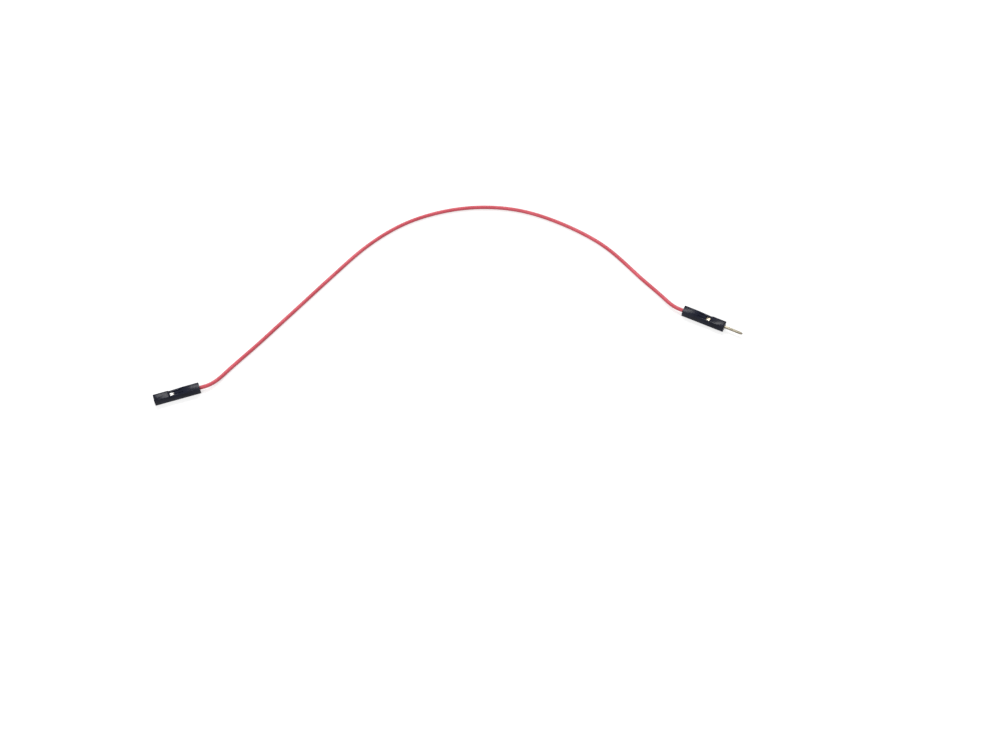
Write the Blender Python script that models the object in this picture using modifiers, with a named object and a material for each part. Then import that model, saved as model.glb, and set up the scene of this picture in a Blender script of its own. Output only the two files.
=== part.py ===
"""Breadboard jumper wire with a socket on one end and a pin on the other, lying on a table.

Metres, +Z up. The origin is on the table, under the middle of the box that holds the two
connectors. Each connector is modelled in a frame of its own: x = 0 is the rear face of its
housing, where the wire goes in, +x runs to the mating face, z = 0 is the axis of the wire,
and the latch is on the +z side.
"""
import math

import bmesh
import bpy
import numpy as np
from mathutils import Vector

# Housing, the same moulding on both ends
HOUSING_LENGTH = 0.0140
HOUSING_SIDE = 0.00254
HOUSING_EDGE = 0.00012
FRONT_WALL = 0.0009
FUNNEL_DEPTH = 0.0004
FUNNEL_FLARE = 0.00028
MOUTH_CLEARANCE = 0.00015
BORE_CLEARANCE = 0.00004

# Latch tongue, moulded into the top wall of the housing
TONGUE_LENGTH = 0.0027
TONGUE_WIDTH = 0.0009
TONGUE_SLOT = 0.0002
TONGUE_NOSE = 0.0002
HOOK_DEPTH = 0.00028
WINDOW_LENGTH = 0.0012
LEDGE = 0.00017
RECESS_RAMP = 0.0008
RECESS_STEP = 0.0001
LATCH_CLEARANCE = 0.00005

# Pressed contact, folded from one strip of sheet
SHEET = 0.0002
FOLD_RADIUS = 0.0002
BOX_WIDTH = 0.0015
BOX_HEIGHT = 0.0014
BOX_SEAM = 0.00005
LOW_WALL = 0.0005
BARREL_SETBACK = 0.0020
BARREL_LENGTH = 0.0017
BARREL_CLEARANCE = 0.00003
BARREL_OPENING = math.radians(10.0)
CRIMP_LENGTH = 0.0017
CRIMP_CLEARANCE = 0.00003
CRIMP_SEAM = 0.00002
CRIMP_LOBE = 0.000155
NECK_LENGTH = 0.0007
THROAT_LENGTH = 0.0015
TAB_LENGTH = 0.0003

# Spring leaf of the socket contact, folded back inside its box
LEAF_BEND = 0.00017
LEAF_LENGTH = 0.0036
LEAF_WIDTH = 0.0008
LEAF_BOW = 0.00011

# Square pin of the other contact
PIN_SIDE = 0.00064
PIN_REACH = 0.0060
PIN_TIP_LENGTH = 0.0007
PIN_TIP_SIDE = 0.00032
PIN_BOX_LENGTH = 0.0035
NOSE_LENGTH = 0.0013

# How far a cutter or a joined form runs past the face that it meets
OVERLAP = 0.0002

# Wire: seven strands in a sleeve of insulation
STRAND_DIAMETER = 0.00012
STRAND_GAP = 0.00003
INSULATION_DIAMETER = 0.0012
INSULATION_END = 0.0002
STRAND_END = 0.0003
POINT_SPACING = 0.00265

# Where the connectors lie: the middle of each rear face, and the way that its mating face looks
SOCKET_REAR = (-0.0765, -0.0122)
SOCKET_HEADING = math.radians(199.0)
PIN_REAR = (0.0725, 0.0170)
PIN_HEADING = math.radians(-27.0)

# Route of the wire over the table, chosen by eye between the straight runs out of the housings
STRAIGHT_RUN = 0.0015
DROP_LENGTH = 0.0100
ROUTE = [
    (-0.0718, -0.0094), (-0.0692, -0.0060), (-0.0663, -0.0024), (-0.0605, 0.0045),
    (-0.0550, 0.0114), (-0.0495, 0.0183), (-0.0435, 0.0259), (-0.0375, 0.0334),
    (-0.0313, 0.0409), (-0.0246, 0.0475), (-0.0168, 0.0532), (-0.0079, 0.0573),
    (0.0021, 0.0598), (0.0121, 0.0603), (0.0221, 0.0587), (0.0316, 0.0550),
    (0.0406, 0.0499), (0.0488, 0.0436), (0.0558, 0.0357), (0.0613, 0.0289),
    (0.0665, 0.0227),
]

# Sizes that follow from the ones above
AXIS_HEIGHT = HOUSING_SIDE / 2
INSULATION_RADIUS = INSULATION_DIAMETER / 2
STRAND_PITCH = STRAND_DIAMETER + STRAND_GAP
CORE_RADIUS = STRAND_PITCH + STRAND_DIAMETER / 2
CORE_BORE = CORE_RADIUS + STRAND_GAP
BARREL_RADIUS = INSULATION_RADIUS + BARREL_CLEARANCE + SHEET / 2
CRIMP_RADIUS = CORE_RADIUS + CRIMP_CLEARANCE + SHEET / 2
BOX_HALF_WIDTH = (BOX_WIDTH - SHEET) / 2
BOX_HALF_HEIGHT = (BOX_HEIGHT - SHEET) / 2
CHAMBER_WIDTH = BOX_WIDTH + 2 * BORE_CLEARANCE
CHAMBER_HEIGHT = BOX_HEIGHT + 2 * BORE_CLEARANCE
REAR_BORE = max(2 * (BARREL_RADIUS + SHEET / 2 + BORE_CLEARANCE), CHAMBER_WIDTH)
MOUTH_SIDE = PIN_SIDE + 2 * MOUTH_CLEARANCE

# Stations along a connector, counted from its rear face
BARREL_REAR = BARREL_SETBACK
BARREL_FRONT = BARREL_REAR + BARREL_LENGTH
SLEEVE_END = BARREL_FRONT + INSULATION_END
NECK_REAR = SLEEVE_END + BARREL_CLEARANCE
CRIMP_REAR = NECK_REAR + NECK_LENGTH
CRIMP_FRONT = CRIMP_REAR + CRIMP_LENGTH
CORE_END = CRIMP_FRONT + STRAND_END
BOX_REAR = CRIMP_FRONT + THROAT_LENGTH
CHAMBER_FRONT = HOUSING_LENGTH - FRONT_WALL
BOX_FRONT = CHAMBER_FRONT - BORE_CLEARANCE - LEAF_BEND - SHEET / 2
TONGUE_TIP = BOX_REAR - LATCH_CLEARANCE
TONGUE_ROOT = TONGUE_TIP - TONGUE_LENGTH
WINDOW_FRONT = TONGUE_TIP + WINDOW_LENGTH


def collection(name):
    """A collection of this name in the scene."""
    found = bpy.data.collections.get(name) or bpy.data.collections.new(name)
    if name not in bpy.context.scene.collection.children:
        bpy.context.scene.collection.children.link(found)
    return found


def material(name, colour, roughness, metallic=0.0):
    """A Principled material; the colour is linear."""
    made = bpy.data.materials.new(name)
    made.use_nodes = True
    shader = made.node_tree.nodes["Principled BSDF"]
    shader.inputs["Base Color"].default_value = (*colour, 1.0)
    shader.inputs["Roughness"].default_value = roughness
    shader.inputs["Metallic"].default_value = metallic
    made.diffuse_color = (*colour, 1.0)
    return made


def piece(name, data, group, look=None, parent=None):
    """An object in a collection, with its material and its parent."""
    made = bpy.data.objects.new(name, data)
    group.objects.link(made)
    made.parent = parent
    if look:
        data.materials.append(look)
    return made


def as_tool(made):
    """Mark an object as a cutter or a joined form that isn't a piece by itself."""
    made.hide_render = True
    made.display_type = "WIRE"
    return made


def block_mesh(name, x_range, rear_size, front_size=None, sill=0.0):
    """A block along x from one rectangular section to another, its middle raised by sill."""
    front_size = front_size or rear_size
    work = bmesh.new()
    bmesh.ops.create_cube(work, size=1.0)
    for vertex in work.verts:
        at_front = vertex.co.x > 0
        width, height = front_size if at_front else rear_size
        x = x_range[1] if at_front else x_range[0]
        vertex.co = Vector((x, vertex.co.y * width, vertex.co.z * height + sill))
    mesh = bpy.data.meshes.new(name)
    work.to_mesh(mesh)
    work.free()
    return mesh


def profile_mesh(name, outline, width):
    """A solid of an (x, z) outline, width across, made from a flat curve stood on edge."""
    curve = bpy.data.curves.new(name + "_outline", "CURVE")
    curve.dimensions = "2D"
    curve.fill_mode = "BOTH"
    curve.extrude = width / 2
    line = curve.splines.new("POLY")
    line.points.add(len(outline) - 1)
    for point, (x, z) in zip(line.points, outline):
        point.co = (x, z, 0.0, 1.0)
    line.use_cyclic_u = True
    holder = bpy.data.objects.new(name + "_outline", curve)
    bpy.context.scene.collection.objects.link(holder)
    bpy.context.view_layer.update()
    evaluated = holder.evaluated_get(bpy.context.evaluated_depsgraph_get())
    mesh = bpy.data.meshes.new_from_object(evaluated)
    mesh.name = name
    bpy.data.objects.remove(holder)
    work = bmesh.new()
    work.from_mesh(mesh)
    bmesh.ops.remove_doubles(work, verts=work.verts, dist=1e-7)
    for vertex in work.verts:
        vertex.co = Vector((vertex.co.x, -vertex.co.z, vertex.co.y))
    bmesh.ops.recalc_face_normals(work, faces=work.faces)
    work.to_mesh(mesh)
    work.free()
    return mesh


def boolean(target, operation, tool):
    """Cut a tool from the target, or join it on."""
    change = target.modifiers.new(operation.lower() + "_" + tool.name, "BOOLEAN")
    change.operation = operation
    change.object = tool
    change.solver = "EXACT"


def build_housing(name, end, parts, tools, plastic):
    """Latch housing: stepped chamber, square mouth with a funnel, recess, window and tongue."""
    half = HOUSING_SIDE / 2
    ceiling = CHAMBER_HEIGHT / 2
    root_top = half - RECESS_STEP
    ledge_top = ceiling + LEDGE
    hook_foot = BOX_HEIGHT / 2 - HOOK_DEPTH
    chamber = (CHAMBER_WIDTH, CHAMBER_HEIGHT)
    rear = (REAR_BORE, REAR_BORE)
    mouth = (MOUTH_SIDE, MOUTH_SIDE)
    flare = (MOUTH_SIDE + 2 * FUNNEL_FLARE, MOUTH_SIDE + 2 * FUNNEL_FLARE)
    bore_step = (CRIMP_REAR + NECK_REAR) / 2

    body_mesh = block_mesh(name, (0.0, HOUSING_LENGTH), (HOUSING_SIDE, HOUSING_SIDE))
    body = piece(name, body_mesh, parts, plastic, end)
    rounding = body.modifiers.new("edges", "BEVEL")
    rounding.width = HOUSING_EDGE
    rounding.segments = 2

    opening = (TONGUE_WIDTH + 2 * TONGUE_SLOT, half)
    cuts = {
        "rear_bore": block_mesh("rear_bore", (-OVERLAP, bore_step), rear),
        "chamber": block_mesh("chamber", (bore_step - OVERLAP, CHAMBER_FRONT), chamber),
        "mouth": block_mesh("mouth", (CHAMBER_FRONT - OVERLAP, HOUSING_LENGTH + OVERLAP), mouth),
        "funnel": block_mesh("funnel", (HOUSING_LENGTH - FUNNEL_DEPTH, HOUSING_LENGTH), mouth, flare),
        "latch_opening": block_mesh("latch_opening", (TONGUE_ROOT, WINDOW_FRONT), opening, sill=half),
        "recess": profile_mesh("recess", [
            (TONGUE_ROOT, root_top),
            (WINDOW_FRONT, ledge_top),
            (WINDOW_FRONT + RECESS_RAMP, half + RECESS_STEP),
            (TONGUE_ROOT, half + RECESS_STEP),
        ], HOUSING_SIDE + 2 * OVERLAP),
    }
    for label, mesh in cuts.items():
        tool = as_tool(piece(name + "_" + label, mesh, tools, None, end))
        boolean(body, "DIFFERENCE", tool)

    tongue = profile_mesh("tongue", [
        (TONGUE_ROOT - OVERLAP, root_top),
        (TONGUE_TIP - TONGUE_NOSE, ledge_top),
        (TONGUE_TIP, ledge_top - TONGUE_NOSE / 2),
        (TONGUE_TIP, hook_foot),
        (TONGUE_TIP - TONGUE_NOSE, hook_foot),
        (TONGUE_ROOT, ceiling),
        (TONGUE_ROOT - OVERLAP, ceiling),
    ], TONGUE_WIDTH)
    boolean(body, "UNION", as_tool(piece(name + "_tongue", tongue, tools, None, end)))
    return body


def arc(centre, radius, start, stop, count):
    """Points on a circular arc in the (y, z) plane, angles in degrees."""
    angles = np.radians(np.linspace(start, stop, count))
    return [(centre[0] + radius * math.cos(a), centre[1] + radius * math.sin(a)) for a in angles]


def box_section():
    """Half of the folded box, from the middle of its floor to the seam in its roof."""
    a, b, r = BOX_HALF_WIDTH, BOX_HALF_HEIGHT, FOLD_RADIUS
    floor = [(0.0, -b)] + arc((a - r, r - b), r, -90, 0, 3)
    roof = arc((a - r, b - r), r, 0, 90, 3)
    return floor + [(a, LOW_WALL - b)] + roof + [(BOX_SEAM / 2, b)]


def crimp_section():
    """Half of the strand crimp: a round belly, and a wing that curls over and down."""
    inner = (CRIMP_SEAM + SHEET) / 2
    lobe = (inner + CRIMP_LOBE, CORE_RADIUS + CRIMP_CLEARANCE)
    belly = arc((0.0, 0.0), CRIMP_RADIUS, -90, -25, 3)
    wing = arc(lobe, CRIMP_LOBE, 0, 180, 5)
    shoulder = ((belly[-1][0] + 2 * wing[0][0]) / 3, (belly[-1][1] + wing[0][1]) / 2)
    return belly + [shoulder] + wing


def barrel_section():
    """Half of the barrel that holds the insulation, open by a slit along its top."""
    end = 90 - math.degrees(BARREL_OPENING) / 2
    return arc((0.0, 0.0), BARREL_RADIUS, -90, end, 9)


def mirrored(half):
    """A whole section from the tip of one wing to the tip of the other."""
    return [(-y, z) for y, z in reversed(half[1:])] + half


def pressed_mesh(name, box_front, with_leaf):
    """The folded strip as an open surface: a floor with low walls all along, and wings in places."""
    box, crimp, barrel = (mirrored(s()) for s in (box_section, crimp_section, barrel_section))
    wall = 4
    stations = [
        (BARREL_REAR - TAB_LENGTH, barrel, 1), (BARREL_REAR, barrel, 1), (BARREL_REAR, barrel, 8),
        (BARREL_FRONT, barrel, 8), (BARREL_FRONT, barrel, wall), (NECK_REAR, barrel, wall),
        (CRIMP_REAR, crimp, wall), (CRIMP_REAR, crimp, 8), (CRIMP_FRONT, crimp, 8),
        (CRIMP_FRONT, crimp, wall), ((CRIMP_FRONT + BOX_REAR) / 2, box, wall), (BOX_REAR, box, wall),
        (BOX_REAR, box, 8), (box_front, box, 8),
    ]
    work = bmesh.new()
    rows = {}
    for x, section, _ in stations:
        if x not in rows:
            rows[x] = [work.verts.new((x, y, z)) for y, z in section]
    middle = len(box) // 2
    for (x0, _, reach0), (x1, _, reach1) in zip(stations, stations[1:]):
        if x0 == x1:
            continue
        reach = min(reach0, reach1)
        for i in range(middle - reach, middle + reach):
            near, far = rows[x0], rows[x1]
            work.faces.new((near[i], near[i + 1], far[i + 1], far[i]))
    if with_leaf:
        add_leaf(work, rows[box_front][middle - 1:middle + 2], box_front)
    for vertex in [v for v in work.verts if not v.link_faces]:
        work.verts.remove(vertex)
    mesh = bpy.data.meshes.new(name)
    work.to_mesh(mesh)
    work.free()
    return mesh


def add_leaf(work, edge, box_front):
    """Carry the floor on past the box's front edge, back through a half circle, and along inside."""
    floor = edge[1].co.z
    bend = [(box_front + LEAF_BEND * math.sin(a), floor + LEAF_BEND * (1 - math.cos(a)))
            for a in np.radians([45, 90, 135, 180])]
    rise = floor + 2 * LEAF_BEND
    run = [(box_front - t * LEAF_LENGTH, rise + LEAF_BOW * math.sin(math.pi * t) - LEAF_BOW * t)
           for t in (0.25, 0.5, 0.75, 1.0)]
    for x, z in bend + run:
        row = [work.verts.new((x, y, z)) for y in (-LEAF_WIDTH / 2, 0.0, LEAF_WIDTH / 2)]
        for i in range(2):
            work.faces.new((edge[i], edge[i + 1], row[i + 1], row[i]))
        edge = row


def thicken(made):
    """Give a pressed strip the thickness of its sheet."""
    wall = made.modifiers.new("sheet", "SOLIDIFY")
    wall.thickness = SHEET
    wall.offset = 0.0
    wall.use_even_offset = True


def build_socket_contact(name, end, parts, metal):
    """Crimp contact with a box and a spring leaf that a square pin slides into."""
    made = piece(name, pressed_mesh(name, BOX_FRONT, with_leaf=True), parts, metal, end)
    thicken(made)
    return made


def build_pin_contact(name, end, parts, tools, metal):
    """Crimp contact whose box closes to a nose that carries the square pin."""
    box_front = BOX_REAR + PIN_BOX_LENGTH
    pin_start = box_front + NOSE_LENGTH - OVERLAP
    pin_end = HOUSING_LENGTH + PIN_REACH
    made = piece(name, pressed_mesh(name, box_front, with_leaf=False), parts, metal, end)
    thicken(made)

    nose_size = (BOX_WIDTH - SHEET / 2, BOX_HEIGHT - SHEET / 2)
    tip_size = (PIN_TIP_SIDE, PIN_TIP_SIDE)
    pin_size = (PIN_SIDE, PIN_SIDE)
    forms = {
        "nose": block_mesh("nose", (box_front - OVERLAP, box_front + NOSE_LENGTH), nose_size, pin_size),
        "pin": block_mesh("pin", (pin_start, pin_end - PIN_TIP_LENGTH), pin_size),
        "tip": block_mesh("tip", (pin_end - PIN_TIP_LENGTH, pin_end), pin_size, tip_size),
    }
    for label, mesh in forms.items():
        tool = as_tool(piece(name + "_" + label, mesh, tools, None, end))
        boolean(made, "UNION", tool)
    return made


def heading_vector(angle):
    """Unit vector over the table."""
    return np.array([math.cos(angle), math.sin(angle)])


def spline_slopes(knots, points, first, last):
    """Slopes at each point of the cubic spline whose two end slopes are given."""
    count = len(points)
    system = np.eye(count)
    right = np.zeros((count, 2))
    right[0], right[-1] = first, last
    steps = np.diff(knots)[:, None]
    chords = np.diff(points, axis=0) / steps
    for i in range(1, count - 1):
        before, after = steps[i - 1, 0], steps[i, 0]
        system[i, i - 1:i + 2] = after, 2 * (before + after), before
        right[i] = 3 * (after * chords[i - 1] + before * chords[i])
    return np.linalg.solve(system, right)


def wire_axis(inner_end):
    """Points along the wire's axis, from inner_end inside one housing to the same in the other."""
    leave = -heading_vector(SOCKET_HEADING)
    arrive = heading_vector(PIN_HEADING)
    start, stop = np.array(SOCKET_REAR), np.array(PIN_REAR)
    points = np.array([start + leave * STRAIGHT_RUN, *ROUTE, stop - arrive * STRAIGHT_RUN])
    knots = np.concatenate([[0.0], np.cumsum(np.linalg.norm(np.diff(points, axis=0), axis=1))])
    slopes = spline_slopes(knots, points, leave, arrive)

    count = round(knots[-1] / POINT_SPACING)
    path = [start - leave * inner_end, start]
    for t in np.linspace(0.0, knots[-1], count + 1):
        i = min(int(np.searchsorted(knots, t, side="right")) - 1, len(knots) - 2)
        h = knots[i + 1] - knots[i]
        u = (t - knots[i]) / h
        path.append((2 * u**3 - 3 * u**2 + 1) * points[i] + (u**3 - 2 * u**2 + u) * h * slopes[i]
                    + (3 * u**2 - 2 * u**3) * points[i + 1] + (u**3 - u**2) * h * slopes[i + 1])
    path += [stop, stop + arrive * inner_end]

    path = np.array(path)
    run = np.concatenate([[0.0], np.cumsum(np.linalg.norm(np.diff(path, axis=0), axis=1))])
    from_housing = np.minimum(run, run[-1] - run) - inner_end - STRAIGHT_RUN
    fall = np.clip(from_housing / DROP_LENGTH, 0.0, 1.0)
    lift = (AXIS_HEIGHT - INSULATION_RADIUS) * (0.5 + 0.5 * np.cos(math.pi * fall))
    return np.column_stack([path, INSULATION_RADIUS + lift])


def beside(path, radius, angle):
    """The path moved sideways by a radius, at an angle round its axis."""
    along = np.gradient(path, axis=0)
    along /= np.linalg.norm(along, axis=1)[:, None]
    across = np.cross(along, (0.0, 0.0, 1.0))
    across /= np.linalg.norm(across, axis=1)[:, None]
    upward = np.cross(across, along)
    return path + radius * (math.cos(angle) * across + math.sin(angle) * upward)


def tube_curve(name, path, radius, filled, sides_step):
    """A poly curve along a path with a round section."""
    curve = bpy.data.curves.new(name, "CURVE")
    curve.dimensions = "3D"
    curve.bevel_depth = radius
    curve.bevel_resolution = sides_step
    curve.render_resolution_u = 0
    curve.use_fill_caps = filled
    line = curve.splines.new("POLY")
    line.points.add(len(path) - 1)
    for point, place in zip(line.points, path):
        point.co = (*place, 1.0)
    line.use_smooth = True
    return curve


def build_wire(parts, copper, sleeve):
    """Seven bare strands, and the insulation round them as an open tube given its wall."""
    core = wire_axis(CORE_END)
    lay = [(0.0, 0.0)] + [(STRAND_PITCH, math.radians(60 * i)) for i in range(6)]
    for number, (radius, angle) in enumerate(lay, start=1):
        name = f"strand_{number}"
        path = beside(core, radius, angle)
        piece(name, tube_curve(name, path, STRAND_DIAMETER / 2, True, 0), parts, copper)

    tube = tube_curve("insulation", wire_axis(SLEEVE_END), INSULATION_RADIUS, False, 2)
    cover = piece("insulation", tube, parts, sleeve)
    wall = cover.modifiers.new("wall", "SOLIDIFY")
    wall.thickness = INSULATION_RADIUS - CORE_BORE
    wall.offset = -1.0


def connector_end(name, rear, heading, tools):
    """The empty that carries a connector, at the middle of its housing's rear face."""
    made = piece(name, None, tools)
    made.empty_display_size = HOUSING_SIDE
    made.location = (*rear, AXIS_HEIGHT)
    made.rotation_euler.z = heading
    return made


def main():
    """Clear the scene, build both connectors and run the wire between them."""
    for old in list(bpy.data.objects):
        bpy.data.objects.remove(old, do_unlink=True)
    parts = collection("jumper_wire")
    tools = collection("jumper_wire_tools")

    plastic = material("housing_black", (0.022, 0.023, 0.030), 0.45)
    tinned = material("socket_contact_tin", (0.78, 0.77, 0.74), 0.28, 1.0)
    gilt = material("pin_contact_gilt", (0.86, 0.72, 0.46), 0.25, 1.0)
    copper = material("strand_copper", (0.80, 0.42, 0.27), 0.30, 1.0)
    sleeve = material("insulation_red", (0.58, 0.040, 0.060), 0.40)

    socket_end = connector_end("socket_end", SOCKET_REAR, SOCKET_HEADING, tools)
    pin_end = connector_end("pin_end", PIN_REAR, PIN_HEADING, tools)
    bpy.context.view_layer.update()

    build_housing("socket_housing", socket_end, parts, tools, plastic)
    build_housing("pin_housing", pin_end, parts, tools, plastic)
    build_socket_contact("socket_contact", socket_end, parts, tinned)
    build_pin_contact("pin_contact", pin_end, parts, tools, gilt)
    build_wire(parts, copper, sleeve)
    bpy.context.view_layer.update()


main()
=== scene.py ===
"""Looks of a breadboard jumper wire: a red lead with a socket connector and a pin connector.

Metres, +Z up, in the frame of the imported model. Each connector has a frame of its own in
millimetres: x = 0 is the rear face of its housing, where the wire goes in, +x runs to the
mating face, z = 0 is the axis of the wire, and the latch is on the +z side.
"""
import logging
import math
from collections.abc import Iterable, Mapping, Sequence
from dataclasses import dataclass
from enum import Enum
from typing import Any

import bmesh
import bpy
import numpy as np
from mathutils import Matrix, Vector


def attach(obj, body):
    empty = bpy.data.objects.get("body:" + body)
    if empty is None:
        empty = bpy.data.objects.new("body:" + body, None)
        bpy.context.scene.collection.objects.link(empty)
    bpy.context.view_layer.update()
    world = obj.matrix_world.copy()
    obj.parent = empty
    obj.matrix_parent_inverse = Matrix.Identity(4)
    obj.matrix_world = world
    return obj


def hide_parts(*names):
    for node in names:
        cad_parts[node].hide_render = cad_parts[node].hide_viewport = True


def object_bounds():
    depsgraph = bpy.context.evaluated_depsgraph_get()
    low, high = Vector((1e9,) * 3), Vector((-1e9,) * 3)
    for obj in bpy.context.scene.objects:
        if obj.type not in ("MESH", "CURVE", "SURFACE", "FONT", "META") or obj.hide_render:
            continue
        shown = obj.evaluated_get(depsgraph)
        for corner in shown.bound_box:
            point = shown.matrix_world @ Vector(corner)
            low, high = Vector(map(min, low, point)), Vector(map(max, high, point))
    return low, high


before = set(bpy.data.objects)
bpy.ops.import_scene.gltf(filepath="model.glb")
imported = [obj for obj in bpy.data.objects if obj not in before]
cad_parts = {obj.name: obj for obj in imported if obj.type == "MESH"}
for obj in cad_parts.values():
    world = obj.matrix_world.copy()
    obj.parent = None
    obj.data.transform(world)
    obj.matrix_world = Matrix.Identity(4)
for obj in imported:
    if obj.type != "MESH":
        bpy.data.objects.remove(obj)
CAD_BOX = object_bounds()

log = logging.getLogger("jumper_wire")

MM = 0.001
ROOT = "root"
CORNER_POINTS = 5

SOCKET_REAR = (-0.0765, -0.0122)
SOCKET_HEADING = math.radians(199.0)
PIN_REAR = (0.0725, 0.0170)
PIN_HEADING = math.radians(-27.0)

Point2 = tuple[float, float]
Point3 = tuple[float, float, float]
Colour = tuple[float, float, float]
Band = tuple[float, float]
Ring = list[Point3]


class Blend(Enum):
    """How two signals are joined."""

    ADD = "ADD"
    SUBTRACT = "SUBTRACT"
    MULTIPLY = "MULTIPLY"
    MINIMUM = "MINIMUM"
    MAXIMUM = "MAXIMUM"


class Cut(Enum):
    """What a tool does to the body that it meets."""

    AWAY = "DIFFERENCE"
    ON = "UNION"


class Signal:
    """An output of a shader node, which takes part in Python expressions."""

    def __init__(self, recipe: "Recipe", socket: bpy.types.NodeSocket) -> None:
        """Wrap a socket.

        Args:
            recipe: The recipe whose node tree holds the socket.
            socket: The output to wrap.
        """
        self.recipe = recipe
        self.socket = socket

    def joined(self, blend: Blend, first: Any, second: Any) -> "Signal":
        """Join two operands with a Math node, or with a Vector Math node if this is a vector.

        Args:
            blend: The operation.
            first: The left operand, a signal, a number or three numbers.
            second: The right operand.

        Returns:
            The result.
        """
        kind = "VectorMath" if self.socket.type == "VECTOR" else "Math"
        return self.recipe.node(kind, {"operation": blend.value}, {0: first, 1: second})

    def __add__(self, other: Any) -> "Signal":
        """This plus another."""
        return self.joined(Blend.ADD, self, other)

    def __radd__(self, other: Any) -> "Signal":
        """Another plus this."""
        return self.joined(Blend.ADD, other, self)

    def __sub__(self, other: Any) -> "Signal":
        """This less another."""
        return self.joined(Blend.SUBTRACT, self, other)

    def __rsub__(self, other: Any) -> "Signal":
        """Another less this."""
        return self.joined(Blend.SUBTRACT, other, self)

    def __mul__(self, other: Any) -> "Signal":
        """This times another."""
        return self.joined(Blend.MULTIPLY, self, other)

    def __rmul__(self, other: Any) -> "Signal":
        """Another times this."""
        return self.joined(Blend.MULTIPLY, other, self)

    def __abs__(self) -> "Signal":
        """This without its sign."""
        return self.recipe.node("Math", {"operation": "ABSOLUTE"}, {0: self})

    def least(self, other: Any) -> "Signal":
        """The lesser of this and another."""
        return self.joined(Blend.MINIMUM, self, other)

    def most(self, other: Any) -> "Signal":
        """The greater of this and another."""
        return self.joined(Blend.MAXIMUM, self, other)

    def between(self, low: float, high: float) -> "Signal":
        """A soft step from 0 at low to 1 at high.

        Args:
            low: The value at which the step starts.
            high: The value at which it ends.

        Returns:
            The step.
        """
        settings = {"interpolation_type": "SMOOTHSTEP"}
        sockets = {"Value": self, "From Min": low, "From Max": high}
        return self.recipe.node("MapRange", settings, sockets)

    def axes(self) -> tuple["Signal", "Signal", "Signal"]:
        """Split this vector.

        Returns:
            Its three components.
        """
        split = self.recipe.node("SeparateXYZ", {}, {0: self}).socket.node
        x, y, z = (Signal(self.recipe, output) for output in split.outputs)
        return x, y, z


class Recipe:
    """The node tree of a material or of the sky."""

    def __init__(self, owner: bpy.types.Material | bpy.types.World) -> None:
        """Start with the nodes that every new tree has.

        Args:
            owner: The material or the world.
        """
        self.owner = owner
        owner.use_nodes = True
        self.tree = owner.node_tree

    def feed(self, socket: bpy.types.NodeSocket, value: Any) -> None:
        """Set a socket to a value, or link it to a signal.

        Args:
            socket: The input.
            value: A signal, a number, or a tuple of numbers.
        """
        if isinstance(value, Signal):
            self.tree.links.new(value.socket, socket)
        elif isinstance(value, tuple) and socket.type == "RGBA":
            socket.default_value = (*value, 1.0)
        else:
            socket.default_value = value

    def node(self, kind: str, settings: Mapping[str, Any], sockets: Mapping[Any, Any],
             output: int | str = 0) -> Signal:
        """Add a node.

        Args:
            kind: The node's type, without its ShaderNode prefix.
            settings: Its properties, which are set first.
            sockets: The values or links of its inputs, by name or number.
            output: The output to hand back.

        Returns:
            That output.
        """
        made = self.tree.nodes.new("ShaderNode" + kind)
        for name, value in settings.items():
            setattr(made, name, value)
        for name, value in sockets.items():
            self.feed(made.inputs[name], value)
        return Signal(self, made.outputs[output])

    def place(self) -> Signal:
        """The point on the piece, in millimetres of its own frame."""
        return self.node("TexCoord", {}, {}, "Object") * (1 / MM, 1 / MM, 1 / MM)

    def noise(self, where: Signal, size: float, detail: float = 2.0) -> Signal:
        """A noise about 0.5.

        Args:
            where: The point, in millimetres.
            size: The size of its largest features, in millimetres.
            detail: How many finer octaves it has.

        Returns:
            The noise.
        """
        return self.node("TexNoise", {}, {"Vector": where, "Scale": 1 / size, "Detail": detail})

    def mixed(self, factor: Signal, low: Colour | Signal, high: Colour | Signal) -> Signal:
        """A colour between two others.

        Args:
            factor: 0 for the first colour and 1 for the second.
            low: The first colour.
            high: The second colour.

        Returns:
            The mix.
        """
        return self.node("Mix", {"data_type": "RGBA"}, {0: factor, 6: low, 7: high}, 2)

    def bump(self, height: Signal, depth: float, under: Signal | None = None) -> Signal:
        """Small relief.

        Args:
            height: The relief, from 0 to 1.
            depth: What 1 stands for, in millimetres.
            under: The relief that it is added to.

        Returns:
            The bent normal.
        """
        sockets = {"Height": height, "Distance": depth * MM, "Strength": 1.0}
        if under is not None:
            sockets["Normal"] = under
        return self.node("Bump", {}, sockets)

    def seen(self) -> Signal:
        """Tell the rays that show the backdrop from those that light the object.

        Returns:
            1 on the camera's rays and on those that are mirrored or let through, and else 0.
        """
        camera = self.node("LightPath", {}, {}, "Is Camera Ray")
        paths = camera.socket.node.outputs
        mirrored = Signal(self, paths["Is Glossy Ray"])
        let_through = Signal(self, paths["Is Transmission Ray"])
        return camera.most(mirrored).most(let_through)

    def dress(self, fixed: Mapping[str, Any], varied: Mapping[str, Signal]) -> bpy.types.Material:
        """Set the inputs of the Principled shader.

        Args:
            fixed: The inputs that are the same all over.
            varied: The inputs that change over the surface.

        Returns:
            The finished material.
        """
        shader = self.tree.nodes["Principled BSDF"]
        for name, value in {**fixed, **varied}.items():
            self.feed(shader.inputs[name], value)
        return self.owner


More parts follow.
